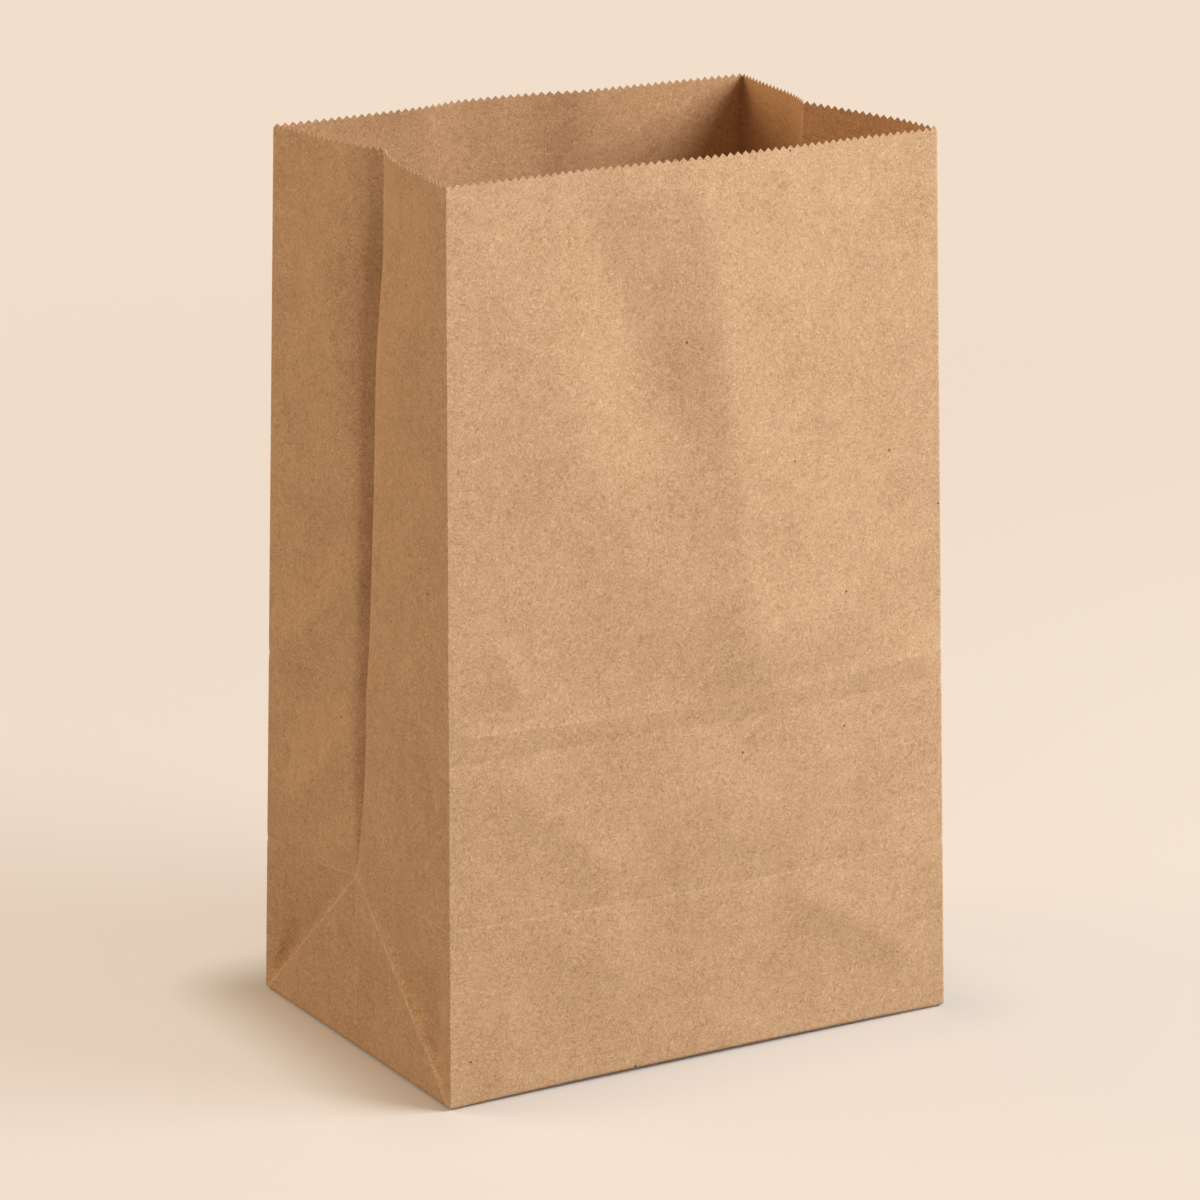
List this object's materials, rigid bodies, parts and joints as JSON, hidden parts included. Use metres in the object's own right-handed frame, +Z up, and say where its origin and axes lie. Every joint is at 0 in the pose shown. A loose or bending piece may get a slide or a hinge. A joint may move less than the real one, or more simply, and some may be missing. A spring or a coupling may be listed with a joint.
{
  "type": "brown paper lunch bag",
  "caption": "Block-bottomed brown kraft paper bag standing open, with tucked side gussets, pressed creases and a toothed mouth.",
  "frame": {"origin": "on the floor under the middle of the base, on the flat outer face of the folded bottom", "axes": "+Z up towards the open mouth, -Y out of the wide front panel, -X out of the left gusset"},
  "size_m": [0.1545, 0.1041, 0.235],
  "materials": {
    "kraft_paper": "unbleached machine-glazed kraft paper, matt, with short fibres and cloudy mottling"
  },
  "bodies": {
    "root": {"paper_bag": "kraft_paper"}
  },
  "joints": []
}
